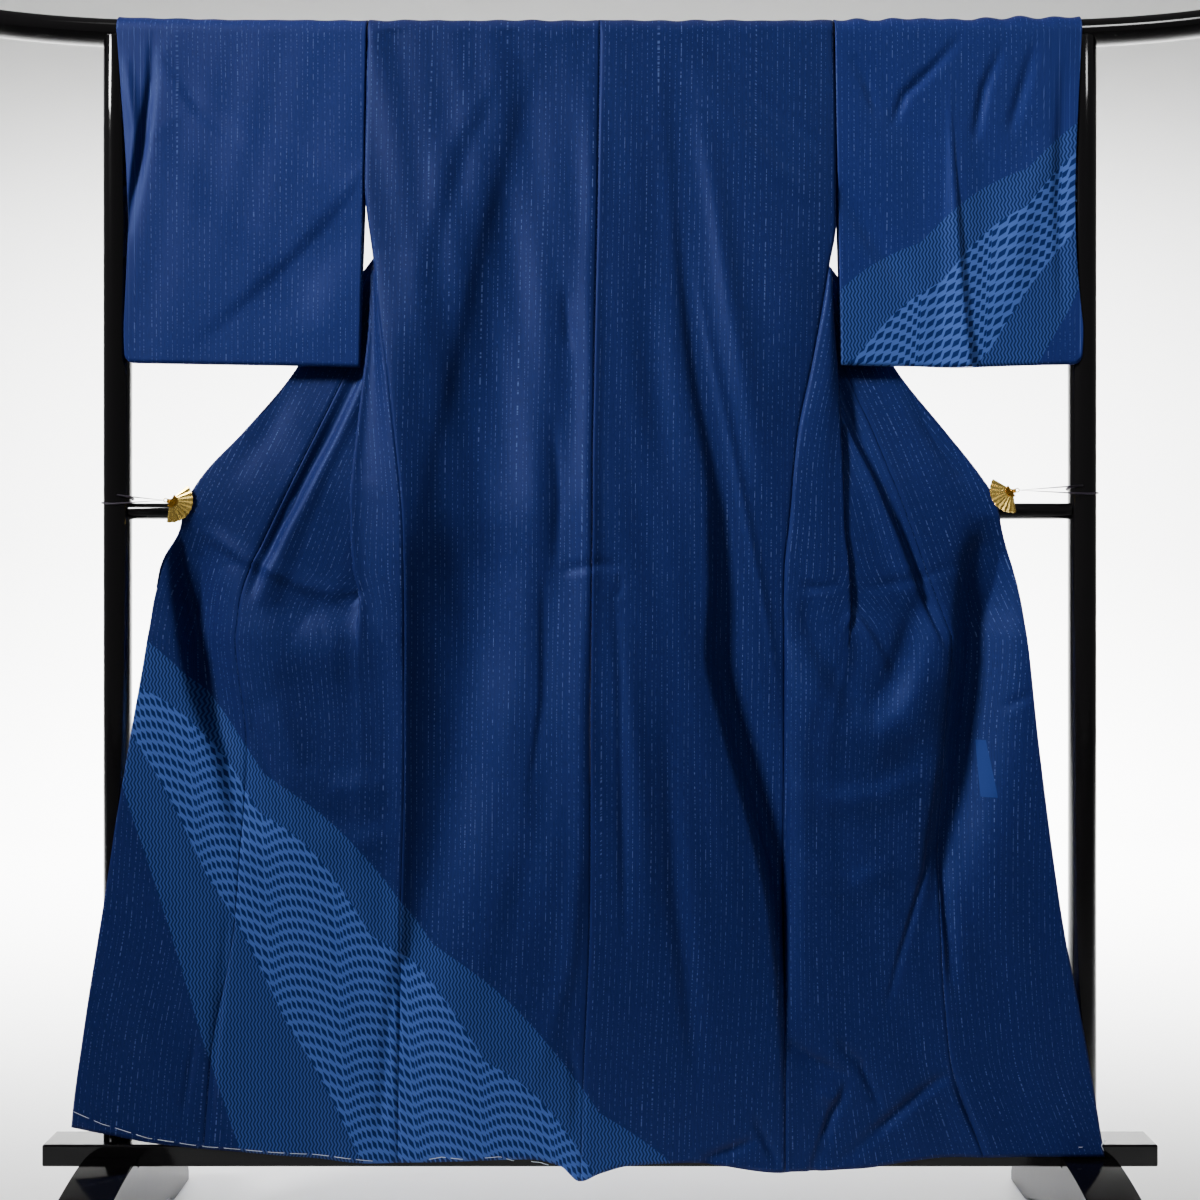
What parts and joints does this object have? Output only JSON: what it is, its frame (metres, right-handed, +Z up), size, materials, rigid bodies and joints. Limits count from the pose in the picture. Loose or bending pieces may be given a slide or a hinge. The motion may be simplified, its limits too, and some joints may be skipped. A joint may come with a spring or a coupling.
{
  "type": "kimono on a lacquered kimono stand",
  "caption": "Woman's striped kimono hung over a black lacquered stand, seen from behind, its fronts opened out and clipped to the posts.",
  "frame": {"origin": "on the floor, midway between the two feet and between the stand's front and rear toes", "axes": "+Z up, +X along the rails, -Y out of the kimono's back towards the viewer"},
  "size_m": [1.8368, 0.432, 1.7583],
  "materials": {
    "kimono_cloth": "navy blue figured crepe with broken pinstripes, soft sheen",
    "lacquer": "black gloss lacquer on wood",
    "fan_gold": "bright gold plate",
    "elastic": "dark purple elastic cord"
  },
  "bodies": {
    "root": {"top_rail": "lacquer", "middle_rail": "lacquer", "plank": "lacquer", "post_left": "lacquer", "post_right": "lacquer", "foot_left": "lacquer", "foot_right": "lacquer", "clip_left": "fan_gold", "clip_right": "fan_gold", "elastic_left": "elastic", "elastic_right": "elastic", "back_left": "kimono_cloth", "back_right": "kimono_cloth", "front_left": "kimono_cloth", "front_right": "kimono_cloth", "okumi_left": "kimono_cloth", "okumi_right": "kimono_cloth", "sleeve_left": "kimono_cloth", "sleeve_right": "kimono_cloth", "collar": "kimono_cloth"}
  },
  "joints": []
}
